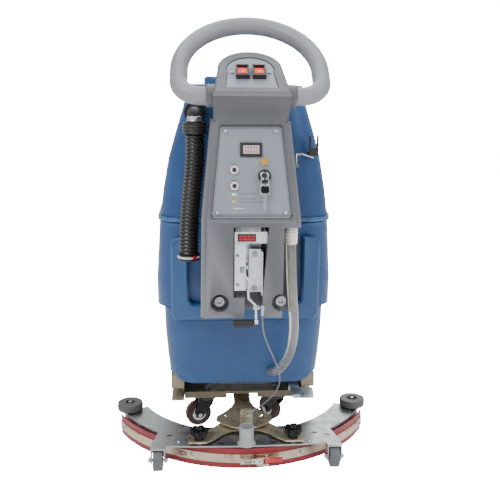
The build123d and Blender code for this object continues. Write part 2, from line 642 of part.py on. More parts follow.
def make_fasteners():
    """Column bolts, caster stems, hinge pins and the small screws, as separate solids."""
    pieces = []
    for side in (-1, 1):
        x = side * BOLT_X
        bolt = rod((x, POCKET_FLOOR - 9, BOLT_Z), (x, POCKET_FLOOR, BOLT_Z), 13)
        bolt = fillet(bolt.edges().group_by(Axis.Y)[0], 2)
        bolt -= rod((x, POCKET_FLOOR - 10, BOLT_Z), (x, POCKET_FLOOR - 4, BOLT_Z), 6)
        pieces.append(bolt + rod((x, POCKET_FLOOR, BOLT_Z), (x, -352, BOLT_Z), 5))
        x = side * CASTER_X
        stem = rod((x, CASTER_Y, 80), (x, CASTER_Y, 108), 6)
        stem += rod((x, CASTER_Y, 108), (x, CASTER_Y, 116), 10)
        pieces.append(stem)
    hinge = rod((-HINGE_EAR[1], *RECOVERY_HINGE), (HINGE_EAR[1], *RECOVERY_HINGE), 5)
    arm_pin = rod((-32, *ARM_HINGE[1:]), (32, *ARM_HINGE[1:]), 5)
    deck_pin = rod((-66, *DECK_HINGE), (66, *DECK_HINGE), 6)
    pieces += [hinge, arm_pin, deck_pin]
    for place in PANEL_SCREWS:
        pieces.append(on(PANEL, *place, stub(5, -2, 1) + stub(2, -10, -2)))
    for place in SWITCH_SCREWS:
        pieces.append(on(HEAD, *place, stub(4.5, -2, 1) + stub(2, -8, -2)))
    for z in (594, 510):
        pieces.append(rod((12, -551, z), (12, -548, z), 7))
    return Compound(children=pieces)


# ---- scrub deck ----------------------------------------------------------------------
def make_deck():
    shell = disc(0, DECK_Y, 62, 122, DECK_R) - disc(0, DECK_Y, 61, 116, DECK_R - 6)
    shell = fillet(shell.edges().group_by(Axis.Z)[-1], 5)
    shell -= disc(0, DECK_Y, 100, 130, 30)
    yoke = Part()
    arm_line = [(148, 184), (163, 186), (262, 140), (282, 121), (244, 121), (160, 166), (148, 168)]
    for side in (-1, 1):
        x = side * 50
        yoke += prism_x(arm_line, x - 4, x + 4)
    bush = rod((-54, *DECK_HINGE), (54, *DECK_HINGE), 10)
    deck = shell + yoke + bush
    return deck - rod((-80, *DECK_HINGE), (80, *DECK_HINGE), 6 + FIT)


def make_brush_motor():
    return disc(0, DECK_Y, 122, 240, 58) + disc(0, DECK_Y, 240, 262, 44) + disc(0, DECK_Y, 116, 122, 29.5)


def make_skirt():
    return disc(0, DECK_Y, 12, 62, DECK_R) - disc(0, DECK_Y, 11, 63, DECK_R - 4)


def make_brush():
    plate = disc(0, DECK_Y, 34, 56, 205) - disc(0, DECK_Y, 33, 57, 60)
    hub = disc(0, DECK_Y, 40, 56, 62) + disc(0, DECK_Y, 56, 115.5, 15)
    bristles = disc(0, DECK_Y, 0, 34, 205) - disc(0, DECK_Y, -1, 35, 110)
    return plate + hub + bristles


# ---- squeegee -------------------------------------------------------------------------
def make_squeegee_arm():
    """The fan plate, with its hinge tube, arc slots and the upright tab for the cable."""
    half = [(24, -148), (24, -268), (32, -296), (52, -328), (76, -356), (78, -376), (60, -402), (36, -420),
            (12, -430)]
    outline = half + [(-x, y) for x, y in reversed(half)]
    fan = prism_z(outline, FAN_LOW, FAN_LOW + 5)
    x, y, z = ARM_HINGE
    fan += rod((-25, y, z), (25, y, z), 10) + block(-24, 24, y - 8, y + 2, FAN_LOW, z)
    fan -= rod((-30, y, z), (30, y, z), 5 + FIT)
    slot = arc_band(60, 67, 70, 95, 62, SWING_PIVOT[1]) - arc_band(50, 80, 60, 100, 30, SWING_PIVOT[1])
    fan -= slot
    tab = block(-14, 18, -436, -430, FAN_LOW, 142)
    tab = fillet(tab.edges().filter_by(Axis.Y).group_by(Axis.Z)[-1], 9)
    fan += tab + block(-14, 14, -432, -425, FAN_LOW, FAN_LOW + 5)
    x, y, z = TAB_BOLT
    fan += rod((x, -436, z), (x, y - 10, z), 3) + rod((x, y - 8, z), (x, y - 11, z), 6)
    fan += disc(0, SWING_PIVOT[1], FAN_LOW, FAN_LOW + 10, 9)
    fan += disc(0, SWING_PIVOT[1], YOKE_LOW - 4, FAN_LOW, 6)
    fan += disc(0, SWING_PIVOT[1], YOKE_LOW - 6, YOKE_LOW - 1, 11)
    return fan


def make_yoke():
    """The swinging plate below the fan: a hub and two curved arms down to the knob pads."""
    outer = [(26, -298), (40, -330), (58, -362), (78, -392), (100, -418), (126, -436), (152, -440),
             (152, -486),
             (104, -486), (84, -468), (62, -440), (40, -424), (18, -418)]
    outline = outer + [(-x, y) for x, y in reversed(outer)]
    yoke = prism_z(outline, YOKE_LOW, YOKE_LOW + 4)
    yoke += disc(0, SWING_PIVOT[1], YOKE_LOW, FAN_LOW - GAP, 14)
    yoke -= disc(0, SWING_PIVOT[1], 40, 100, 6 + FIT)
    for side in (-1, 1):
        yoke -= disc(side * KNOB_AT[0], KNOB_AT[1], 60, 90, 4 + FIT)
    return yoke


def make_squeegee_plate():
    """The squeegee body: curved arms, square rear corners and the wheel brackets."""
    arms = arc_band(306, 372, PLATE_TOP - 4, PLATE_TOP, BLADE_SPAN)
    corner = [(-252, -478), (-236, -404), (-120, -380), (120, -380), (236, -404), (252, -478),
              (150, -487), (0, -492), (-150, -487)]
    plate = arms + prism_z(corner, PLATE_TOP - 4, PLATE_TOP)
    plate += arc_band(370, BLADE_R - 10, 20, PLATE_TOP, BLADE_SPAN)
    for side in (-1, 1):
        x, y = side * ROLLER_AT[0], ROLLER_AT[1]
        plate += disc(x, y, PLATE_TOP - 4, PLATE_TOP, 24) + disc(x, y, PLATE_TOP, PLATE_TOP + 3, 9)
        plate += disc(x, y, PLATE_TOP, PLATE_TOP + 26, 5)
        plate += disc(side * KNOB_AT[0], KNOB_AT[1], PLATE_TOP, YOKE_LOW, 12)
        plate -= disc(side * KNOB_AT[0], KNOB_AT[1], PLATE_TOP - 10, YOKE_LOW + 1, 4 + FIT)
        plate += wheel_bracket(side)
    return plate


def wheel_bracket(side):
    x, y = side * SUPPORT_AT[0], SUPPORT_AT[1]
    bracket = Part()
    cheek_line = [(-474, PLATE_TOP - 4), (-500, PLATE_TOP - 4), (-504, 40), (-498, 18), (-482, 18),
                  (-466, 52)]
    for cheek in (-1, 1):
        inner, outer = sorted((x + cheek * 16, x + cheek * 19))
        bracket += prism_x(cheek_line, inner, outer)
    bracket += block(x - 19, x + 19, -500, -474, PLATE_TOP - 4, PLATE_TOP)
    return bracket + rod((x - 25, y, SUPPORT_R), (x + 25, y, SUPPORT_R), 4)


def make_blades():
    rear = arc_band(BLADE_R - 4, BLADE_R, 0, 56)
    front = arc_band(366, 369.8, 1, 56, BLADE_SPAN)
    return rear, front


def make_strap():
    strap = arc_band(BLADE_R, BLADE_R + 2, 16, 40)
    for angle in (-60, -22, 22, 60):
        turn = math.radians(angle)
        out = (math.sin(turn), -math.cos(turn))
        a, b = BLADE_R + 1, BLADE_R + 9
        start = (out[0] * a, BLADE_CENTRE_Y + out[1] * a, 28)
        end = (out[0] * b, BLADE_CENTRE_Y + out[1] * b, 28)
        strap += rod(start, end, 5)
    x, y, _ = LATCH_HINGE
    base = block(26, 58, y - 6, -491, 14, 38) - block(x - 8, x + 9, y - 8, y + 7, 20, 36)
    base += rod((x, y, 14), (x, y, 38), 2.5)
    hook = block(-18, -8, y - 3, -492, 18, 36)
    link = rod((-12, y, 21), (28, y, 26), 2) + rod((-12, y, 33), (28, y, 28), 2)
    return strap + (base + hook + link - disc(0, BLADE_CENTRE_Y, 0, 60, BLADE_R + 1))


LATCH_HINGE = (51, -503, 28)


def make_latch():
    """The red handle of the over-centre latch that pulls the strap tight."""
    x, y, _ = LATCH_HINGE
    handle = rod((x, y, 21), (x, y, 35), 6) + block(x, 94, y - 4, y + 3, 22, 34)
    handle = handle - rod((x, y, 10), (x, y, 40), 2.5 + FIT)
    return handle


def make_port():
    outer = disc(0, PORT_Y, PLATE_TOP, 114, 19) + disc(0, PORT_Y, PLATE_TOP, PLATE_TOP + 4, 24)
    return outer - disc(0, PORT_Y, PLATE_TOP - 1, 120, 15.5)


def make_roller(side):
    x, y = side * ROLLER_AT[0], ROLLER_AT[1]
    low = PLATE_TOP + 3.4
    wheel = fillet(disc(x, y, low, low + 21, 36).edges().filter_by(GeomType.CIRCLE), 3)
    wheel -= disc(x, y, low + 14, low + 30, 13)
    return wheel - disc(x, y, 60, 100, 5 + FIT)


def make_support_wheel(side):
    x, y = side * SUPPORT_AT[0], SUPPORT_AT[1]
    z = SUPPORT_R
    wheel = fillet(rod((x - 13, y, z), (x + 13, y, z), z).edges().filter_by(GeomType.CIRCLE), 4)
    for face in (-1, 1):
        wheel -= rod((x + face * 10.5, y, z), (x + face * 16, y, z), 17)
    wheel += rod((x - 13, y, z), (x + 13, y, z), 8)
    return wheel - rod((x - 30, y, z), (x + 30, y, z), 4 + FIT)


def make_knob(side):
    x, y = side * KNOB_AT[0], KNOB_AT[1]
    low = YOKE_LOW + 4 + GAP
    knob = disc(x, y, low + 10, low + 30, 17) + disc(x, y, low, low + 12, 13)
    for lobe in range(6):
        turn = math.radians(60 * lobe + 12)
        knob += disc(x + 17 * math.cos(turn), y + 17 * math.sin(turn), low + 14, low + 29, 7)
    return knob + disc(x, y, PLATE_TOP - 2, low, 4)


# ---- small pieces ----------------------------------------------------------------------
def make_batteries():
    pieces = []
    for y in (-158, 22):
        case = block(-130, 130, y - 84, y + 84, 268, 470)
        case += block(-122, 122, y - 78, y + 78, 470, 480)
        for side in (-1, 1):
            case += disc(side * 100, y + 55, 480, 496, 9)
        pieces.append(case)
    return Compound(children=pieces)


def make_level_cuff():
    start, end = (96, -562, 668), LEVEL_ROUTE[0]
    cuff = rod(start, end, 14)
    for z in (634, 640, 646):
        cuff += disc(96, -562, z, z + 3, 15.5)
    return cuff


def make_filler_cap():
    axis = Vector(0, 52, 24).normalized()
    face = Vector(0, TANK_FRONT + 22, 584) + axis * 0.5
    cap = rod(tuple(face), tuple(face + axis * 20), 48)
    plug = rod(tuple(face - axis * 12), tuple(face), 33.5)
    return cap + plug


def main():
    os.makedirs("parts", exist_ok=True)
    handle = make_handle()
    recovery_tank = make_recovery_tank()
    elbow, plug = make_drain_fittings()
    ball, eye = make_cable_ends()
    rear_blade, front_blade = make_blades()
    nodes = {
        "main_frame": make_frame(),
        "rear_plate": make_rear_plate(),
        "solution_tank": make_solution_tank(),
        "batteries": make_batteries(),
        "control_column": make_column(handle),
        "loop_handle": handle,
        "fasteners": make_fasteners(),
        "switch_plate": make_switch_plate(),
        "switch_housings": make_switch_housings(),
        "rocker_left": make_rocker(-1),
        "rocker_right": make_rocker(1),
        "control_panel": make_panel(),
        "meter": make_meter(),
        "indicator_lamp": make_lamp(),
        "panel_collars": make_collars(),
        "ignition_key": make_key(),
        "key_ring": make_key_ring(),
        "breaker_button_upper": make_button(BREAKERS_AT["upper"]),
        "breaker_button_lower": make_button(BREAKERS_AT["lower"]),
        "lever_bracket": make_lever_bracket(),
        "lift_lever": make_lever(),
        "lever_grip": make_grip(),
        "lift_cable": cord_tube("lift_cable", CABLE_ROUTE, CABLE_DIAMETER),
        "cable_ends": Compound(children=[ball, eye]),
        "level_hose": cord_tube("level_hose", LEVEL_ROUTE, LEVEL_DIAMETER),
        "level_hose_cuff": make_level_cuff(),
        "drain_hose": cord_tube("drain_hose", DRAIN_ROUTE, DRAIN_DIAMETER),
        "drain_fittings": Compound(children=[elbow, plug]),
        "recovery_tank": recovery_tank,
        "recovery_lid": make_recovery_lid(),
        "vacuum_motor": make_vacuum_motor(),
        "tank_catch": make_tank_catch(recovery_tank),
        "catch_rod": make_catch_rod(),
        "filler_cap": make_filler_cap(),
        "scrub_deck": make_deck(),
        "brush_motor": make_brush_motor(),
        "splash_skirt": make_skirt(),
        "scrub_brush": make_brush(),
        "foot_pedal": make_pedal(),
        "drive_axle": make_drive_axle(),
        "squeegee_arm": make_squeegee_arm(),
        "squeegee_yoke": make_yoke(),
        "squeegee_plate": make_squeegee_plate(),
        "suction_port": make_port(),
        "rear_blade": rear_blade,
        "front_blade": front_blade,
        "blade_strap": make_strap(),
        "blade_latch": make_latch(),
    }
    for name, side in (("left", -1), ("right", 1)):
        nodes["drive_wheel_" + name] = make_drive_wheel(side)
        nodes["caster_fork_" + name] = make_fork(side)
        nodes["caster_wheel_" + name] = make_caster_wheel(side)
        nodes["knob_" + name] = make_knob(side)
        nodes["roller_" + name] = make_roller(side)
        nodes["support_wheel_" + name] = make_support_wheel(side)
    for name, shape in nodes.items():
        export_step(shape, "parts/" + name + ".step")
    print(len(nodes), "nodes")


main()
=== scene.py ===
import json
import math
import random

import bpy
from mathutils import Matrix, Vector


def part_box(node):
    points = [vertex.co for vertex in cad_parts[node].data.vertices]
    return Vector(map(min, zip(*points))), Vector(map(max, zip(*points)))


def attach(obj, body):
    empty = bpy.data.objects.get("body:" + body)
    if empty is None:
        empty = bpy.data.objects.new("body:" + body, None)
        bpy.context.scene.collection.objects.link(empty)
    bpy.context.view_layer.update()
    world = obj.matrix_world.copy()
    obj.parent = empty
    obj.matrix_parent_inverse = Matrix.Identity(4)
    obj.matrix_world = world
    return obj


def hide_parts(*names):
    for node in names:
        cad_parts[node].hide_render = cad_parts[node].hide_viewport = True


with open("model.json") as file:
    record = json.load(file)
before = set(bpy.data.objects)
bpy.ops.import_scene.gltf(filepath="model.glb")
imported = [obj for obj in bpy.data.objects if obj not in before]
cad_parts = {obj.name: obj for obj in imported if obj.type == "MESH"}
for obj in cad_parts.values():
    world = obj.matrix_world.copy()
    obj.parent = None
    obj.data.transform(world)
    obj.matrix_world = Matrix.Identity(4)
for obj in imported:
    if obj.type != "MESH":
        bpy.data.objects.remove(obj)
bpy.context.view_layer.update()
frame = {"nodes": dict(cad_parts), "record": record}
NODES = frame["nodes"]
JOINTS = {joint["name"]: joint for joint in frame["record"]["behaviour"]["joints"]}
MM = 0.001

# ---- camera ---------------------------------------------------------------------------
camera_data = bpy.data.cameras.new("camera")
camera_data.sensor_width = 36
camera_data.lens = 53.2
camera = bpy.data.objects.new("camera", camera_data)
bpy.context.scene.collection.objects.link(camera)
camera.location = (-0.112, -2.26, 1.0)
aim = Matrix.Rotation(math.radians(-3.75), 3, "Z") @ Matrix.Rotation(math.radians(77), 3, "X")
camera.rotation_euler = (aim @ Matrix.Rotation(math.radians(0.5), 3, "Z")).to_euler()
bpy.context.scene.camera = camera


# ---- colours and materials ------------------------------------------------------------
def linear(red, green, blue):
    """A display colour, 0 to 255, as a scene colour."""
    out = []
    for value in (red, green, blue):
        part = value / 255
        out.append(part / 12.92 if part <= 0.04045 else ((part + 0.055) / 1.055) ** 2.4)
    return (*out, 1.0)


class Surface:
    """A material built from object-space noise: colour drift, roughness drift and bump."""

    def __init__(self, name, roughness=0.5, metallic=0.0, **constants):
        self.material = bpy.data.materials.new(name)
        self.material.use_nodes = True
        self.nodes = self.material.node_tree.nodes
        self.links = self.material.node_tree.links
        self.shader = self.nodes["Principled BSDF"]
        self.shader.inputs["Metallic"].default_value = metallic
        self.shader.inputs["Roughness"].default_value = roughness
        for socket, value in constants.items():
            self.shader.inputs[socket.replace("_", " ")].default_value = value
        self.place = self.nodes.new("ShaderNodeTexCoord").outputs["Object"]
        self.bump_input = None

    def mapped(self, stretch):
        node = self.nodes.new("ShaderNodeMapping")
        node.inputs["Scale"].default_value = stretch
        self.links.new(self.place, node.inputs["Vector"])
        return node.outputs["Vector"]

    def noise(self, scale, detail=4, stretch=(1, 1, 1)):
        node = self.nodes.new("ShaderNodeTexNoise")
        node.inputs["Scale"].default_value = scale
        node.inputs["Detail"].default_value = detail
        self.links.new(self.mapped(stretch), node.inputs["Vector"])
        return node.outputs["Fac"]

    def cells(self, scale, stretch=(1, 1, 1)):
        node = self.nodes.new("ShaderNodeTexVoronoi")
        node.inputs["Scale"].default_value = scale
        self.links.new(self.mapped(stretch), node.inputs["Vector"])
        return node.outputs

    def ramp(self, value, stops):
        node = self.nodes.new("ShaderNodeValToRGB")
        while len(node.color_ramp.elements) < len(stops):
            node.color_ramp.elements.new(0.5)
        for element, (position, colour) in zip(node.color_ramp.elements, stops):
            element.position = position
            element.color = colour
        self.links.new(value, node.inputs["Fac"])
        return node.outputs["Color"]

    def mix(self, factor, first, second):
        node = self.nodes.new("ShaderNodeMix")
        node.data_type = "RGBA"
        self.links.new(factor, node.inputs["Factor"])
        for socket, value in (("A", first), ("B", second)):
            target = [s for s in node.inputs if s.name == socket and s.type == "RGBA"][0]
            if isinstance(value, tuple):
                target.default_value = value
            else:
                self.links.new(value, target)
        return [s for s in node.outputs if s.type == "RGBA"][0]

    def ranged(self, value, low, high, start=0.3, end=0.7):
        node = self.nodes.new("ShaderNodeMapRange")
        for socket, number in (("From Min", start), ("From Max", end), ("To Min", low), ("To Max", high)):
            node.inputs[socket].default_value = number
        self.links.new(value, node.inputs["Value"])
        return node.outputs["Result"]

    def colour(self, value):
        self.links.new(value, self.shader.inputs["Base Color"])
        return self

    def rough(self, value):
        self.links.new(value, self.shader.inputs["Roughness"])
        return self

    def bump(self, value, strength, distance):
        node = self.nodes.new("ShaderNodeBump")
        node.inputs["Strength"].default_value = strength
        node.inputs["Distance"].default_value = distance
        self.links.new(value, node.inputs["Height"])
        if self.bump_input is not None:
            self.links.new(self.bump_input, node.inputs["Normal"])
        self.bump_input = node.outputs["Normal"]
        self.links.new(self.bump_input, self.shader.inputs["Normal"])
        return self

    def edges(self, base, edge_sheen, start=0.53, end=0.6):
        """Painted highlight: a lighter colour on each sharp convex edge."""
        point = self.nodes.new("ShaderNodeNewGeometry").outputs["Pointiness"]
        return self.mix(self.ranged(point, 0, 0.6, start, end), base, edge_sheen)


def moulded(name, dark, base, light, roughness=0.42, grain=700, depth=0.0004, edge_sheen=None, **constants):
    """Moulded plastic or rubber: fine pebble, broad drift of colour, a painted highlight on each sharp
    edge.
    """
    skin = Surface(name, roughness, **constants)
    drift = skin.ramp(skin.noise(7, 5), [(0.3, dark), (0.5, base), (0.72, light)])
    specks = skin.ramp(skin.noise(320, 3), [(0.35, (0.9, 0.9, 0.9, 1)), (0.7, (1, 1, 1, 1))])
    node = skin.nodes.new("ShaderNodeMix")
    node.data_type = "RGBA"
    node.blend_type = "MULTIPLY"
    node.inputs["Factor"].default_value = 1
    colour_in = [s for s in node.inputs if s.type == "RGBA"]
    skin.links.new(drift, colour_in[0])
    skin.links.new(specks, colour_in[1])
    tinted = [s for s in node.outputs if s.type == "RGBA"][0]
    # Painted highlight: each sharp convex edge takes the lighter edge colour.
    skin.colour(skin.edges(tinted, edge_sheen or light))
    skin.rough(skin.ranged(skin.noise(28, 4), roughness - 0.07, roughness + 0.09))
    skin.bump(skin.noise(grain, 2), 0.22, depth)
    skin.bump(skin.noise(14, 2), 0.08, 0.002)
    return skin.material


def metal(name, dark, base, light, roughness=0.3, brush=(1, 1, 1), depth=0.0002, grime=None, grain=260,
          shine=1.0):
    """Metal: drawn or cast grain, cloudy roughness and a little grime."""
    skin = Surface(name, roughness, metallic=shine)
    grain_value = skin.noise(grain, 4, brush)
    tone = skin.ramp(grain_value, [(0.3, dark), (0.5, base), (0.7, light)])
    if grime is not None:
        tone = skin.mix(skin.ranged(skin.noise(38, 6), 0, 0.75, 0.52, 0.7), tone, grime)
    skin.colour(tone)
    skin.rough(skin.ranged(skin.noise(45, 5), roughness - 0.1, roughness + 0.14))
    skin.bump(grain_value, 0.2, depth)
    return skin.material


def zinc(name, dark, light, roughness=0.34):
    """Zinc plate: flat crystals of slightly different tone and shine."""
    skin = Surface(name, roughness, metallic=0.9)
    crystals = skin.cells(150)
    tone = skin.ramp(crystals["Distance"], [(0.1, light), (0.8, dark)])
    tone = skin.mix(skin.ranged(skin.noise(60, 5), 0, 0.4, 0.5, 0.75), tone, dark)
    skin.colour(tone)
    skin.rough(skin.ranged(skin.noise(90, 4), roughness - 0.1, roughness + 0.16))
    skin.bump(skin.noise(400, 3), 0.15, 0.0002)
    return skin.material


def print_and_shade_mark(name, base, roughness=0.45):
    """A thin flat mark, slightly uneven as ink is: print, and also the painted shade in the gap round the
    control panel.
    """
    skin = Surface(name, roughness)
    faded = tuple(0.86 * c for c in base[:3]) + (1,)
    skin.colour(skin.ramp(skin.noise(900, 3), [(0.35, faded), (0.6, base)]))
    skin.bump(skin.noise(1500, 2), 0.1, 0.00005)
    return skin.material


def translucent(name, dark, light, roughness, transmission):
    """Soft clear vinyl with cloudy bands."""
    skin = Surface(name, roughness, Transmission_Weight=transmission, IOR=1.42)
    skin.colour(skin.ramp(skin.noise(55, 5), [(0.3, dark), (0.7, light)]))
    skin.rough(skin.ranged(skin.noise(70, 3), roughness - 0.06, roughness + 0.12))
    skin.bump(skin.noise(60, 2), 0.08, 0.0003)
    return skin.material


def lipped(name, dark, lip, roughness=0.45):
    """Coated steel, lighter on the lip of the caster plate and on the rails."""
    skin = Surface(name, roughness, metallic=0.35)
    split = skin.nodes.new("ShaderNodeSeparateXYZ")
    skin.links.new(skin.place, split.inputs["Vector"])
    level = skin.ranged(split.outputs["Z"], 0, 1, 0.10, 0.20)
    tone = skin.ramp(level, [(0.14, lip), (0.22, dark), (0.38, dark), (0.5, lip)])
    tone = skin.mix(skin.ranged(skin.noise(70, 6), 0, 0.25, 0.5, 0.72), tone, linear(112, 92, 66))
    skin.colour(tone)
    skin.rough(skin.ranged(skin.noise(50, 5), roughness - 0.12, roughness + 0.14))
    skin.bump(skin.noise(500, 3), 0.25, 0.0003)
    return skin.material


# The lighter edge colours given to moulded pieces below are painted highlights on their sharp edges.
MAT = {
    "blue": moulded("blue_tank", linear(24, 65, 116), linear(28, 71, 124), linear(34, 80, 134), 0.36,
                    edge_sheen=linear(74, 122, 168)),
    "console": moulded("grey_console", linear(80, 82, 88), linear(87, 89, 95), linear(95, 97, 103), 0.46,
                       edge_sheen=linear(128, 130, 137)),
    "handle": moulded("grey_handle", linear(122, 124, 130), linear(136, 138, 145), linear(150, 152, 158),
                      0.42,
                      edge_sheen=linear(170, 172, 178)),
    "panel": moulded("panel_face", linear(121, 128, 138), linear(127, 134, 144), linear(133, 140, 150),
                     0.48,
                     grain=1100, depth=0.0002),
    "black": moulded("black_plastic", linear(20, 20, 22), linear(28, 28, 30), linear(42, 42, 44), 0.38),
    "grip": moulded("black_grip", linear(18, 18, 18), linear(26, 26, 26), linear(40, 39, 38), 0.55,
                    grain=450),
    "hose": moulded("hose_rubber", linear(15, 14, 14), linear(22, 20, 20), linear(34, 31, 30), 0.24,
                    depth=0.00004, edge_sheen=linear(62, 58, 54)),
    "red_glow": moulded("rocker_red", linear(170, 18, 14), linear(206, 26, 18), linear(226, 48, 34), 0.5,
                        Emission_Color=linear(230, 30, 14), Emission_Strength=0.25),
    "amber": moulded("lamp_amber", linear(186, 130, 30), linear(206, 152, 44), linear(226, 180, 84), 0.25),
    "latch_red": moulded("latch_red", linear(150, 26, 32), linear(182, 36, 42), linear(204, 62, 66), 0.32),
    "chrome": metal("chrome", linear(196, 198, 202), linear(214, 216, 220), linear(230, 232, 236), 0.16,
                    grain=90),
    "zinc": zinc("galvanized", linear(214, 222, 230), linear(242, 247, 251)),
    "zinc_dark": zinc("galvanized_dull", linear(140, 146, 152), linear(186, 190, 194), 0.42),
    "olive": metal("olive_zinc", linear(166, 156, 128), linear(186, 176, 148), linear(204, 195, 170), 0.36,
                   (1, 6, 1), grime=linear(140, 112, 78), shine=0.7),
    "cast": metal("cast_grey", linear(126, 128, 132), linear(156, 158, 162), linear(186, 188, 192), 0.42,
                  grime=linear(104, 104, 106)),
    "coated": lipped("coated_frame", linear(48, 50, 53), linear(158, 148, 126)),
    "fork": moulded("black_fork", linear(24, 25, 27), linear(36, 37, 40), linear(58, 59, 62), 0.36,
                    edge_sheen=linear(108, 108, 108)),
    "blade": moulded("red_blade", linear(104, 20, 28), linear(122, 25, 33), linear(142, 36, 42), 0.34,
                     Subsurface_Weight=0.05),
    "strap": metal("blade_strap", linear(166, 150, 128), linear(200, 185, 163), linear(222, 210, 192), 0.36,
                   (1, 5, 8), grime=linear(150, 112, 80)),
    "grey_rubber": moulded("grey_rubber", linear(86, 88, 92), linear(98, 101, 105), linear(112, 115, 119),
                           0.55,
                           grain=420),
    "roller": moulded("roller_rubber", linear(70, 70, 71), linear(79, 79, 80), linear(90, 90, 91), 0.5,
                      grain=420),
    "tyre": moulded("maroon_tyre", linear(52, 32, 30), linear(70, 44, 40), linear(92, 62, 56), 0.42,
                    grain=420),
    "bristle": moulded("bristle", linear(38, 66, 108), linear(52, 84, 130), linear(72, 104, 150), 0.5,
                       grain=1600,
                       depth=0.003),
    "battery": moulded("battery_case", linear(40, 40, 42), linear(54, 54, 57), linear(72, 72, 74), 0.5),
    "clear": translucent("clear_hose", linear(206, 203, 190), linear(234, 232, 222), 0.08, 0.82),
    "alloy": metal("plate_alloy", linear(164, 165, 166), linear(172, 173, 174), linear(180, 181, 182), 0.4,
                   (1, 3, 1), depth=0.00006, grain=60),
    "knob": moulded("knob_black", linear(4, 4, 5), linear(6, 6, 7), linear(10, 10, 11), 0.32,
                    edge_sheen=linear(26, 26, 28), Specular_IOR_Level=0.25),
    "cuff": moulded("cream_cuff", linear(226, 222, 202), linear(240, 236, 220), linear(250, 248, 238),
                    0.34),
    "port": moulded("grey_port", linear(128, 130, 134), linear(146, 148, 152), linear(164, 166, 170), 0.42),
    "orange": moulded("orange_ring", linear(176, 98, 56), linear(200, 120, 70), linear(216, 146, 98), 0.45),
    "steel": metal("steel_wire", linear(150, 152, 156), linear(186, 188, 192), linear(214, 216, 220), 0.28,
                   (6, 6, 1)),
    "cable": metal("cable_wire", linear(92, 94, 98), linear(120, 122, 126), linear(146, 148, 152), 0.36,
                   (6, 6, 1)),
    "ink_white": print_and_shade_mark("ink_white", linear(236, 238, 240)),
    "ink_dark": print_and_shade_mark("ink_dark", linear(26, 27, 30)),
    "ink_yellow": print_and_shade_mark("ink_yellow", linear(226, 196, 60)),
    "ink_red": print_and_shade_mark("ink_red", linear(190, 34, 36)),
    # Grey shared by printed bars and by the painted shade of the gap round the control panel.
    "gap_shade_and_print": print_and_shade_mark("gap_shade_and_print_grey", linear(92, 96, 104), 0.6),
    "screen": print_and_shade_mark("meter_screen", linear(206, 178, 184), 0.18),
}

NODE_MATERIAL = {
    "blue": ["solution_tank", "recovery_tank", "recovery_lid"],
    "console": ["control_column"],
    "handle": ["loop_handle"],
    "panel": ["control_panel", "switch_plate"],
    "black": ["switch_housings", "meter", "ignition_key", "breaker_button_upper", "breaker_button_lower",
              "drain_fittings", "tank_catch", "filler_cap", "brush_motor"],
    "knob": ["knob_left", "knob_right"],
    "grip": ["lever_grip"],
    "hose": ["drain_hose"],
    "red_glow": ["rocker_left", "rocker_right"],
    "amber": ["indicator_lamp"],
    "latch_red": ["blade_latch"],
    "zinc_dark": ["fasteners"],
    "chrome": ["panel_collars", "key_ring", "lift_lever", "catch_rod"],
    "zinc": ["lever_bracket", "rear_plate", "foot_pedal"],
    "cable": ["lift_cable"],
    "steel": ["cable_ends"],
    "olive": ["squeegee_arm", "squeegee_yoke"],
    "cast": ["vacuum_motor", "scrub_deck"],
    "alloy": ["squeegee_plate"],
    "coated": ["main_frame"],
    "fork": ["caster_fork_left", "caster_fork_right", "drive_axle"],
    "blade": ["rear_blade", "front_blade"],
    "strap": ["blade_strap"],
    "grey_rubber": ["drive_wheel_left", "drive_wheel_right", "support_wheel_left", "support_wheel_right",
                    "splash_skirt"],
    "roller": ["roller_left", "roller_right"],
    "tyre": ["caster_wheel_left", "caster_wheel_right"],
    "bristle": ["scrub_brush"],
    "battery": ["batteries"],
    "clear": ["level_hose"],
    "cuff": ["level_hose_cuff"],
    "port": ["suction_port"],
}
for key, names in NODE_MATERIAL.items():
    for name in names:
        for place in NODES[name].material_slots:
            place.material = MAT[key]


# ---- mesh helpers ---------------------------------------------------------------------
def placed(name, mesh, material, body, bevel=0.0, smooth=True):
    """A new piece that rides on a body."""
    piece = bpy.data.objects.new(name, mesh)
    bpy.context.scene.collection.objects.link(piece)
    mesh.materials.append(MAT[material])
    for polygon in mesh.polygons:
        polygon.use_smooth = smooth
    if bevel:
        rounding = piece.modifiers.new("rounding", "BEVEL")
        rounding.width = bevel
        rounding.segments = 3
        rounding.limit_method = "ANGLE"
        rounding.harden_normals = True
    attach(piece, body)
    return piece


def built(name, points, faces):
    mesh = bpy.data.meshes.new(name)
    mesh.from_pydata([tuple(p) for p in points], [], faces)
    mesh.update()
    return mesh


def basis(normal, up=Vector((0, 0, 1))):
    """Right, up and normal, for a flat piece that faces along normal."""
    normal = Vector(normal).normalized()
    right = Vector(up).cross(normal)
    if right.length < 0.01:
        right = Vector((1, 0, 0))
    right.normalize()
    return right, normal.cross(right).normalized(), normal


def revolved(profile, origin, axis, around):
    """Points of a profile of (radius, height) pairs turned on an axis, row by row."""
    right, up, normal = basis(axis)
    points = []
    for radius, height in profile:
        for k in range(around):
            angle = 2 * math.pi * k / around
            points.append(Vector(origin) + normal * height
                          + (right * math.cos(angle) + up * math.sin(angle)) * radius)
    return points


def bands(rows, around, closed=False):
    """Faces between rows of points. A closed set joins its last row to its first."""
    faces = []
    for row in range(rows if closed else rows - 1):
        below = (row + 1) % rows
        for k in range(around):
            m = (k + 1) % around
            faces.append((row * around + k, row * around + m, below * around + m, below * around + k))
    return faces


def end_caps(rows, around):
    """The flat faces that close the first and the last row."""
    return [tuple(range(around))[::-1], tuple(range((rows - 1) * around, rows * around))]


def turned(name, profile, origin, axis, material, body, around=40):
    """A solid piece turned on an axis. The profile holds (radius, height) pairs, in metres."""
    points = revolved(profile, origin, axis, around)
    faces = bands(len(profile), around) + end_caps(len(profile), around)
    return placed(name, built(name, points, faces), material, body)


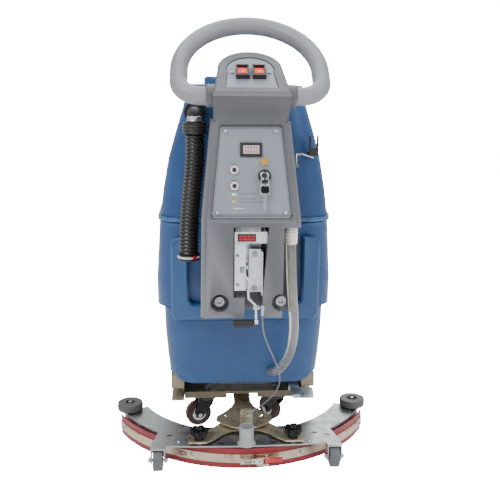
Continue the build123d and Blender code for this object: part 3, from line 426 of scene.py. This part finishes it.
def plate(name, outline, origin, normal, low, high, material, body, bevel=0.0004):
    """A flat plate with the outline in (right, up) metres about an origin, facing along normal."""
    right, up, normal = basis(normal)
    count = len(outline)
    points = []
    for height in (low, high):
        for u, v in outline:
            points.append(Vector(origin) + right * u + up * v + normal * height)
    faces = [tuple(range(count))[::-1], tuple(range(count, 2 * count))]
    for k in range(count):
        m = (k + 1) % count
        faces.append((k, m, count + m, count + k))
    return placed(name, built(name, points, faces), material, body, bevel, smooth=False)


def rounded(half_u, half_v, radius, centre=(0, 0), steps=5):
    """Outline of a rectangle with rounded corners."""
    outline = []
    for corner, (su, sv) in enumerate(((1, 1), (-1, 1), (-1, -1), (1, -1))):
        for k in range(steps + 1):
            angle = math.pi / 2 * (corner + k / steps)
            outline.append((centre[0] + su * (half_u - radius) + radius * math.cos(angle),
                            centre[1] + sv * (half_v - radius) + radius * math.sin(angle)))
    return outline


def screw(name, origin, normal, radius, body, material="chrome"):
    """A pan head with a cross recess, the recess drawn as painted shade."""
    dome = [(radius, 0), (radius, radius * 0.16), (radius * 0.88, radius * 0.4),
            (radius * 0.5, radius * 0.56),
            (radius * 0.2, radius * 0.6)]
    turned(name, dome, origin, normal, material, body, 28)
    # Painted shade: two dark flat bars on the dome stand in for the shaded hollow of the cross recess.
    for number, (half_u, half_v) in enumerate(((0.55, 0.11), (0.11, 0.55))):
        outline = rounded(radius * half_u, radius * half_v, radius * 0.08)
        plate(name + "_recess_shade_%d" % number, outline, origin, normal, radius * 0.57, radius * 0.63,
              "ink_dark", body, 0)


def facing(node, direction):
    """Centre and normal of the largest flat side of a node that looks roughly along direction."""
    direction = Vector(direction).normalized()
    groups = {}
    for polygon in NODES[node].data.polygons:
        if polygon.normal.dot(direction) < 0.8:
            continue
        key = tuple(round(c, 2) for c in polygon.normal)
        area, centre = groups.get(key, (0, Vector()))
        groups[key] = (area + polygon.area, centre + polygon.center * polygon.area)
    key, (area, centre) = max(groups.items(), key=lambda item: item[1][0])
    return centre / area, Vector(key).normalized()


# ---- cords ----------------------------------------------------------------------------
def route_curve(name, route, diameter, material, body, bevel=True):
    """One smooth spline whose control points are the route, in millimetres."""
    data = bpy.data.curves.new(name, "CURVE")
    data.dimensions = "3D"
    spline = data.splines.new("NURBS")
    spline.points.add(len(route) - 1)
    for point, (x, y, z) in zip(spline.points, route):
        point.co = (x * MM, y * MM, z * MM, 1)
    spline.order_u = 3
    spline.use_endpoint_u = True
    spline.resolution_u = 16
    if bevel:
        data.bevel_depth = diameter / 2
        data.bevel_resolution = 8
        data.use_fill_caps = True
    curve = bpy.data.objects.new(name, data)
    bpy.context.scene.collection.objects.link(curve)
    if bevel:
        data.materials.append(MAT[material])
        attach(curve, body)
    return curve


def line_of(curve):
    """The points of a curve's own smooth line."""
    mesh = bpy.data.meshes.new_from_object(curve)
    points = [v.co.copy() for v in mesh.vertices]
    bpy.data.meshes.remove(mesh)
    return points


def resampled(points, count):
    """Evenly spaced points on a line, and the length of the line."""
    lengths = [0.0]
    for a, b in zip(points, points[1:]):
        lengths.append(lengths[-1] + (b - a).length)
    out = []
    row = 0
    for k in range(count):
        want = lengths[-1] * k / (count - 1)
        while row < len(points) - 2 and lengths[row + 1] < want:
            row += 1
        span = max(lengths[row + 1] - lengths[row], 1e-9)
        out.append(points[row].lerp(points[row + 1], (want - lengths[row]) / span))
    return out, lengths[-1]


def corrugated(name, route, radius, depth, pitch, material, body):
    """A ribbed hose: a tube whose radius swells once per pitch along a slow spiral."""
    guide = route_curve(name + "_guide", route, 0, material, body, bevel=False)
    line = line_of(guide)
    bpy.data.objects.remove(guide)
    total = sum((b - a).length for a, b in zip(line, line[1:]))
    rings = int(total / pitch) * 8
    path, total = resampled(line, rings)
    around = 56
    points = []
    for k, point in enumerate(path):
        ahead = path[min(k + 1, rings - 1)] - path[max(k - 1, 0)]
        right, up, _ = basis(ahead, Vector((0, 1, 0)))
        for m in range(around):
            angle = 2 * math.pi * m / around
            phase = 2 * math.pi * (total * k / (rings - 1)) / pitch + angle
            swell = 0.5 + 0.5 * math.cos(phase)
            size = radius - depth * (1 - swell ** 0.7)
            points.append(point + (right * math.cos(angle) + up * math.sin(angle)) * size)
    faces = end_caps(rings, around) + bands(rings, around)
    return placed(name, built(name, points, faces), material, body), path


CABLE_ROUTE = [(27, -604, 459), (27.6, -602, 438), (31, -595, 412), (41, -582, 380), (55, -566, 345),
               (69, -550, 311), (79, -533, 277), (80, -516, 243), (71, -498, 213), (56, -481, 188),
               (41, -468, 167), (26, -457, 150)]
LEVEL_ROUTE = [(96, -562, 622), (97, -564, 576), (100, -562, 526), (105, -554, 474), (111, -538, 422),
               (114, -512, 370), (112, -480, 322), (105, -448, 282), (94, -418, 250), (82, -392, 229),
               (72, -368, 220)]
DRAIN_ROUTE = [(-130, -461, 896), (-128.5, -461, 846), (-131, -463, 790), (-138, -468, 732),
               (-143, -472, 676),
               (-146, -474, 622), (-146, -472, 578)]

cable = route_curve("lift_cable_wire", CABLE_ROUTE, 0.004, "cable", "lift_cable")
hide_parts("lift_cable")

hose = route_curve("level_hose_tube", LEVEL_ROUTE, 0.024, "clear", "chassis")
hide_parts("level_hose")

drain, drain_path = corrugated("drain_hose_ribbed", DRAIN_ROUTE, 0.024, 0.0032, 0.0092, "hose",
                                             "chassis")
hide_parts("drain_hose")


# ---- control panel and switch head ------------------------------------------------------
def ring(name, profile, origin, axis, material, body, around=48):
    """A hollow turned piece: the profile closes on itself round an open middle."""
    points = revolved(profile, origin, axis, around)
    return placed(name, built(name, points, bands(len(profile), around, closed=True)), material, body)


def round_section(inner, outer, low, high, rounding=0.0006):
    """Section of a ring with eased corners."""
    return [(inner, low), (outer, low), (outer, high - rounding), (outer - rounding, high),
            (inner + rounding, high), (inner, high - rounding)]


def border(name, outline, width, origin, normal, low, high, material, body):
    """A raised frame that follows an outline, a steady width inside it."""
    right, up, normal = basis(normal)
    centre = (sum(p[0] for p in outline) / len(outline), sum(p[1] for p in outline) / len(outline))
    inner = []
    for u, v in outline:
        reach = math.hypot(u - centre[0], v - centre[1])
        inner.append((centre[0] + (u - centre[0]) * (1 - width / reach),
                      centre[1] + (v - centre[1]) * (1 - width / reach)))
    count = len(outline)
    points = []
    for flat in (outline, inner):
        for height in (low, high):
            for u, v in flat:
                points.append(Vector(origin) + right * u + up * v + normal * height)
    faces = []
    for k in range(count):
        m = (k + 1) % count
        faces.append((k, m, count + m, count + k))
        faces.append((3 * count + k, 3 * count + m, 2 * count + m, 2 * count + k))
        faces.append((count + k, count + m, 3 * count + m, 3 * count + k))
        faces.append((2 * count + k, 2 * count + m, m, k))
    return placed(name, built(name, points, faces), material, body, smooth=False)


lock = Vector(JOINTS["key_turn"]["pos_m"])
outward = -Vector(JOINTS["key_turn"]["axis"])
panel_right, panel_up, panel_out = basis(outward)
panel_foot = lock - panel_right * 0.030 - panel_up * 0.104


def on_panel(u, v, w=-2):
    return panel_foot + panel_right * u * MM + panel_up * v * MM + panel_out * w * MM


def detail_panel():
    trapezoid = [(-0.089, 0.012), (0.089, 0.012), (0.093, 0.018), (0.0735, 0.213), (0.068, 0.219),
                 (-0.068, 0.219), (-0.0735, 0.213), (-0.093, 0.018)]
    # Painted shade: the dark rim and the thin inner line stand in for the shaded gap round the recessed
    # panel.
    border("panel_edge_shade", trapezoid, 0.0022, on_panel(0, 0, -2), panel_out, 0, 0.0016, "gap_shade_and_print", "chassis")
    inset = [(u * 0.94, 0.115 + (v - 0.115) * 0.955) for u, v in trapezoid]
    border("panel_inner_shade_line", inset, 0.0011, on_panel(0, 0, -2), panel_out, 0, 0.0005, "gap_shade_and_print", "chassis")
    meter = on_panel(0, 165, 2)
    border("meter_rim", rounded(0.0215, 0.0125, 0.002), 0.002, meter, panel_out, 0, 0.0012, "black",
           "chassis")
    plate("meter_window", rounded(0.0185, 0.0098, 0.001), meter, panel_out, 0, 0.0006, "screen", "chassis",
          0.0002)
    random.seed(4)
    for row in (-0.0045, 0.0045):
        for column in range(5):
            centre = ((column - 2) * 0.0066, row)
            for segment in range(3):
                high = centre[1] + (segment - 1) * 0.0022
                plate("digit_%d_%d_%d" % (row > 0, column, segment),
                      rounded(0.0017 + 0.0003 * random.random(), 0.0004, 0.0003, (centre[0], high)),
                      meter, panel_out, 0.0006, 0.0009, "ink_dark", "chassis", 0)
    ring("lock_collar", round_section(0.0105, 0.0152, -0.001, 0.0062), on_panel(30, 104, 0), panel_out,
         "black",
         "chassis")
    ring("lock_inner", round_section(0.0058, 0.0102, -0.001, 0.0056), on_panel(30, 104, 0), panel_out,
         "chrome",
         "chassis")
    for label, v in (("upper", 118), ("lower", 81)):
        ring("breaker_collar_" + label, round_section(0.0050, 0.0092, -0.001, 0.0046), on_panel(-39, v, 0),
             panel_out, "cuff", "chassis")
    ring("lamp_rim", round_section(0.0058, 0.0084, -0.001, 0.0036), on_panel(30, 137, 0), panel_out,
         "amber",
         "chassis")
    head = rounded(0.0095, 0.0085, 0.0055)
    plate("spare_key_head", head, on_panel(30, 71.3, 12.3), panel_out, -0.0021, 0.0021, "knob", "key_ring",
          0.0006)
    for number, (u, v) in enumerate(((-58, 208), (58, 208), (-78, 20), (78, 20))):
        ring("panel_washer_%d" % number, round_section(0.0038, 0.0050, -0.0002, 0.0005, 0.0002),
             on_panel(u, v), panel_out, "ink_dark", "chassis", 28)
        screw("panel_head_%d" % number, on_panel(u, v, -0.6), panel_out, 0.0040, "chassis")
    marks = (("mark_white", "ink_white", 0.0052, 0.0026, -40, 62),
             ("mark_yellow", "ink_yellow", 0.0040, 0.0024, -40, 46),
             ("mark_bar", "ink_white", 0.0120, 0.0007, -30, 30),
             ("bar_upper", "gap_shade_and_print", 0.0042, 0.0008, -39, 132),
             ("bar_lower", "gap_shade_and_print", 0.0060, 0.0008, -39, 95),
             ("bar_note_1", "gap_shade_and_print", 0.0200, 0.0006, -8, 64),
             ("bar_note_2", "gap_shade_and_print", 0.0200, 0.0006, -8, 52),
             ("bar_note_3", "gap_shade_and_print", 0.0270, 0.0006, -2, 45))
    for name, material, half_u, half_v, u, v in marks:
        plate(name, rounded(half_u, half_v, 0.0005), on_panel(u, v), panel_out, 0, 0.0003, material,
              "chassis",
              0)


def detail_switches():
    _, head_out = facing("switch_plate", (0, -0.5, 0.87))
    for side in ("left", "right"):
        pivot = Vector(JOINTS["rocker_%s_press" % side]["pos_m"])
        rim = pivot + head_out * 0.0045
        border("switch_rim_" + side, rounded(0.0158, 0.0243, 0.003), 0.0035, rim, head_out, 0, 0.0022,
               "black",
               "chassis")
        glow = pivot + head_out * 0.0068
        plate("rocker_pip_" + side, rounded(0.0012, 0.0028, 0.0008, (0, -0.010)), glow, head_out, 0, 0.0008,
              "ink_white", "rocker_" + side, 0.0002)


def detail_lever():
    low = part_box("lever_bracket")[0]
    face = Vector((0, low.y, 0))
    plate("lever_label", rounded(0.0215, 0.0092, 0.0006, (-0.010, 0.642)), face, (0, -1, 0), 0, 0.0005,
          "ink_dark",
          "chassis", 0)
    random.seed(11)
    for row in range(2):
        for column in range(4):
            width = 0.0032 + 0.0014 * random.random()
            plate("label_block_%d_%d" % (row, column),
                  rounded(width, 0.0024, 0.0006, (-0.024 + column * 0.0095, 0.6385 + row * 0.007)),
                  face, (0, -1, 0), 0.0005, 0.0008, "ink_red", "chassis", 0)
    lip = [(-0.0365, 0.6285), (0.0365, 0.6285), (0.0365, 0.6300), (-0.0365, 0.6300)]
    plate("bracket_fold", lip, face, (0, -1, 0), 0, 0.0009, "zinc_dark", "chassis", 0.0003)
    for number, (x, z) in enumerate(((-0.031, 0.600), (-0.031, 0.530))):
        screw("bracket_rivet_%d" % number, (x, low.y, z), (0, -1, 0), 0.0042, "chassis", "zinc_dark")
    grip_low, grip_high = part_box("lever_grip")
    middle = (grip_low + grip_high) / 2
    for number in range(7):
        x = grip_low.x + 0.007 + number * 0.0056
        ring("grip_rib_%d" % number, round_section(0.0085, 0.0094, -0.0011, 0.0011, 0.0004),
             (x, middle.y, middle.z), (1, 0, 0), "grip", "lift_lever")


# ---- hoses' ends --------------------------------------------------------------------------
def detail_hoses():
    low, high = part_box("level_hose_cuff")
    middle = (low + high) / 2
    for number in range(6):
        ring("cuff_rib_%d" % number, round_section(0.0145, 0.0162, -0.0014, 0.0014, 0.0006),
             (middle.x, middle.y, low.z + 0.005 + number * 0.0058), (0, 0, 1), "cuff", "chassis")
    x, y, z = [c * MM for c in DRAIN_ROUTE[0]]
    profile = [(0.0172, 0.000), (0.0190, 0.001), (0.0194, 0.004), (0.0182, 0.0055), (0.0182, 0.011),
               (0.0190, 0.013), (0.0172, 0.0145)]
    ring("elbow_sleeve", profile, (x, y - 0.0002, z + 0.0035), (0, 0, 1), "chrome", "chassis")
    for number in range(3):
        ring("cuff_band_%d" % number, round_section(0.0276, 0.0292, -0.0016, 0.0016, 0.0007),
             (x, y, z - 0.005 - number * 0.007), (0, 0, 1), "hose", "chassis")
    x, y, z = [c * MM for c in DRAIN_ROUTE[-1]]
    ring("plug_band", round_section(0.0262, 0.0284, -0.002, 0.002, 0.0008), (x, y, z - 0.006), (0, 0, 1),
         "ink_white",
         "chassis")
    plate("plug_tab", rounded(0.006, 0.004, 0.001), (x + 0.014, y - 0.0245, z - 0.005), (0.5, -0.87, 0), 0,
          0.0016,
          "latch_red", "chassis", 0.0004)


# ---- wheels ---------------------------------------------------------------------------------
def nut(name, origin, axis, across, height, material, body):
    """A chamfered hexagon nut with the end of its bolt."""
    right, up, normal = basis(axis)
    points = []
    radius = across / 2 / math.cos(math.pi / 6)
    for size, level in ((radius, 0), (radius, height * 0.82), (radius * 0.9, height)):
        for k in range(6):
            angle = math.pi / 3 * k
            points.append(Vector(origin) + normal * level
                          + (right * math.cos(angle) + up * math.sin(angle)) * size)
    faces = [tuple(range(6))[::-1], tuple(range(12, 18))]
    for row in range(2):
        for k in range(6):
            m = (k + 1) % 6
            faces.append((row * 6 + k, row * 6 + m, row * 6 + 6 + m, row * 6 + 6 + k))
    placed(name, built(name, points, faces), material, body, 0.0003, smooth=False)
    end = [(across * 0.27, height), (across * 0.27, height * 1.35), (across * 0.2, height * 1.5)]
    turned(name + "_end", end, origin, axis, material, body, 20)


def detail_casters():
    for side in ("left", "right"):
        swivel = Vector(JOINTS["caster_%s_swivel" % side]["pos_m"])
        ring("caster_race_" + side, [(0.0215, 0.0922), (0.0285, 0.0922), (0.0300, 0.0945), (0.0300, 0.0975),
                                     (0.0280, 0.0995), (0.0215, 0.0995)],
             (swivel.x, swivel.y, 0), (0, 0, 1), "orange", "caster_fork_" + side)
        roll = JOINTS["caster_%s_roll" % side]
        centre, axis = Vector(roll["pos_m"]), Vector(roll["axis"]).normalized()
        for face in (-1, 1):
            end = "ab"[face > 0]
            dish = [(0.0205, 0.0110), (0.0205, 0.0126), (0.0190, 0.0132), (0.0150, 0.0118),
                    (0.0110, 0.0118),
                    (0.0085, 0.0134), (0.0055, 0.0136)]
            turned("caster_hub_%s_%s" % (side, end), dish, centre, axis * face, "chrome",
                   "caster_wheel_" + side)
            nut("caster_nut_%s_%s" % (side, end), centre + axis * face * 0.0212, axis * face, 0.011, 0.0034,
                "zinc", "caster_fork_" + side)


def detail_rollers():
    for side in ("left", "right"):
        low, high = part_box("roller_" + side)
        centre = Vector(JOINTS["roller_%s_spin" % side]["pos_m"])
        ring("roller_tread_" + side, round_section(0.0352, 0.0366, -0.0016, 0.0016, 0.0007),
             (centre.x, centre.y, (low.z + high.z) / 2), (0, 0, 1), "roller", "roller_" + side)
        ring("roller_lip_" + side, round_section(0.0132, 0.0165, -0.0010, 0.0009, 0.0004),
             (centre.x, centre.y, high.z), (0, 0, 1), "roller", "roller_" + side)
        nut("roller_nut_" + side, (centre.x, centre.y, high.z - 0.0050), (0, 0, 1), 0.010, 0.0036,
            "zinc_dark",
            "squeegee")
        wheel = Vector(JOINTS["support_wheel_%s_spin" % side]["pos_m"])
        for face in (-1, 1):
            end = "ab"[face > 0]
            nut("support_nut_%s_%s" % (side, end), wheel + Vector((face * 0.0195, 0, 0)), (face, 0, 0),
                0.013, 0.005,
                "chrome", "squeegee")
            ring("support_hub_%s_%s" % (side, end), round_section(0.0082, 0.0165, 0.0098, 0.0116, 0.0006),
                 wheel, (face, 0, 0), "port", "support_wheel_" + side)
        for number in (-1, 1):
            ring("support_tread_%s_%d" % (side, number > 0),
                 round_section(0.0279, 0.0285, -0.0012, 0.0012, 0.0003),
                 wheel + Vector((number * 0.0052, 0, 0)), (1, 0, 0), "grey_rubber", "support_wheel_" + side)


# ---- squeegee ---------------------------------------------------------------------------------
PLATE_LEVEL = 0.064            # top of the squeegee plate
BLADE_CENTRE_Y = -0.104        # centre of the arc of the blades
STRAP_Z = 0.028                # middle height of the blade strap
PORT_Y = -0.480


def detail_squeegee():
    # Painted shade: dark flat slots on the plate stand in for the shade inside its open slots.
    for number, (x, y, turn) in enumerate(((-0.205, -0.425, 12), (0.188, -0.424, -10), (0.222, -0.436, -12),
                                           (-0.066, -0.474, 0), (0.072, -0.474, 0))):
        angle = math.radians(turn)
        outline = []
        for u, v in rounded(0.0075, 0.0032, 0.0012):
            outline.append((u * math.cos(angle) - v * math.sin(angle),
                            u * math.sin(angle) + v * math.cos(angle)))
        plate("plate_slot_shade_%d" % number, outline, (x, y, PLATE_LEVEL), (0, 0, 1), -0.0004, 0.0003,
              "ink_dark", "squeegee",
              0)
    for number, (x, y) in enumerate(((-0.178, -0.462), (0.168, -0.470), (-0.05, -0.397), (0.05, -0.397),
                                     (-0.268, -0.365), (0.268, -0.365))):
        screw("plate_screw_%d" % number, (x, y, PLATE_LEVEL), (0, 0, 1), 0.0048, "squeegee", "zinc")
    for number, angle in enumerate((-60, -22, 22, 60)):
        turn = math.radians(angle)
        out = Vector((math.sin(turn), -math.cos(turn), 0))
        seat = Vector((0, BLADE_CENTRE_Y, STRAP_Z)) + out * 0.3905
        ring("strap_washer_%d" % number, round_section(0.0052, 0.0084, -0.0006, 0.0008, 0.0003), seat, out,
             "zinc",
             "squeegee")
    turn = math.radians(-25.5)
    out = Vector((math.sin(turn), -math.cos(turn), 0))
    seat = Vector((0, BLADE_CENTRE_Y, STRAP_Z)) + out * 0.3902
    border("strap_slot_rim", rounded(0.0105, 0.0052, 0.0050), 0.0026, seat, out, -0.0004, 0.0010, "blade",
           "squeegee")
    port = Vector((0, PORT_Y, 0))
    ring("port_bead", round_section(0.0186, 0.0196, -0.0014, 0.0014, 0.0006), port + Vector((0, 0, 0.1115)),
         (0, 0, 1), "port", "squeegee")
    ring("port_fillet", [(0.0188, 0.0676), (0.0238, 0.0676), (0.0214, 0.0686), (0.0200, 0.0705),
                         (0.0192, 0.0740),
                         (0.0188, 0.0740)], port, (0, 0, 1), "port", "squeegee")
    rear = Vector((0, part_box("blade_strap")[0].y, 0))
    plate("latch_base", rounded(0.013, 0.0070, 0.002, (0.026, STRAP_Z)), rear, (0, -1, 0), 0, 0.0016,
          "chrome",
          "squeegee", 0.0004)
    border("latch_loop", rounded(0.014, 0.0062, 0.0050, (0.002, STRAP_Z)), 0.0028, rear, (0, -1, 0), 0,
           0.0022,
           "chrome", "squeegee")
    for number, u in enumerate((0.018, 0.034)):
        ring("latch_rivet_%d" % number, round_section(0.0008, 0.0024, 0.0014, 0.0026, 0.0004),
             rear + Vector((u, 0, STRAP_Z)), (0, -1, 0), "ink_dark", "squeegee", 20)
    hinge = Vector(JOINTS["blade_latch_open"]["pos_m"])
    for number, dz in enumerate((-0.0125, 0.0125)):
        turned("latch_pin_%d" % number, [(0.0036, -0.001), (0.0036, 0.0012), (0.0026, 0.0020),
                                         (0.001, 0.0022)],
               hinge + Vector((0, 0, dz)), (0, 0, 1 if dz > 0 else -1), "chrome", "squeegee", 20)
    for side in ("left", "right"):
        joint = Vector(JOINTS["knob_%s_turn" % side]["pos_m"])
        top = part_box("knob_" + side)[1].z
        ring("knob_boss_" + side, round_section(0.0045, 0.0088, -0.001, 0.0022, 0.0008),
             (joint.x, joint.y, top), (0, 0, 1), "black", "knob_" + side)


detail_panel()
detail_switches()
detail_lever()
detail_hoses()
detail_casters()
detail_rollers()
detail_squeegee()


# ---- floor and light ------------------------------------------------------------------
FLOOR_HALF = 6


def make_floor():
    corners = [(x * FLOOR_HALF, y * FLOOR_HALF, -0.0005) for x, y in ((-1, -1), (1, -1), (1, 1), (-1, 1))]
    mesh = built("floor", corners, [(0, 1, 2, 3)])
    floor = bpy.data.objects.new("floor", mesh)
    bpy.context.scene.collection.objects.link(floor)
    skin = Surface("floor_white", 0.7, Emission_Color=(1, 1, 1, 1))
    seen = skin.nodes.new("ShaderNodeMapRange")
    seen.inputs["To Min"].default_value = 0.3
    seen.inputs["To Max"].default_value = 20.0
    skin.links.new(skin.nodes.new("ShaderNodeLightPath").outputs["Is Camera Ray"], seen.inputs["Value"])
    skin.links.new(seen.outputs["Result"], skin.shader.inputs["Emission Strength"])
    skin.colour(skin.ramp(skin.noise(2, 3), [(0.3, (0.88, 0.88, 0.88, 1)), (0.7, (0.93, 0.93, 0.93, 1))]))
    mesh.materials.append(skin.material)


def area_light(name, place, target, size, power):
    data = bpy.data.lights.new(name, "AREA")
    data.size = size
    data.energy = power
    lamp = bpy.data.objects.new(name, data)
    bpy.context.scene.collection.objects.link(lamp)
    lamp.location = place
    lamp.rotation_euler = (Vector(target) - Vector(place)).to_track_quat("-Z", "Y").to_euler()


make_floor()
area_light("key", (-1.6, -2.4, 3.3), (0, -0.3, 0.7), 1.8, 84)
area_light("fill", (2.0, -2.2, 2.4), (0, -0.3, 0.6), 1.8, 40)
area_light("top", (0, 0.4, 3.2), (0, 0, 0.5), 2.4, 50)
area_light("back", (0.6, 3.0, 2.2), (0, 0, 0.6), 2.0, 40)
world = bpy.data.worlds.new("studio")
bpy.context.scene.world = world
world.use_nodes = True
sky = world.node_tree
backdrop = sky.nodes["Background"]
backdrop.inputs["Color"].default_value = (1, 1, 1, 1)
seen = sky.nodes.new("ShaderNodeMapRange")
seen.inputs["To Min"].default_value = 0.72
seen.inputs["To Max"].default_value = 16.0
sky.links.new(sky.nodes.new("ShaderNodeLightPath").outputs["Is Camera Ray"], seen.inputs["Value"])
sky.links.new(seen.outputs["Result"], backdrop.inputs["Strength"])
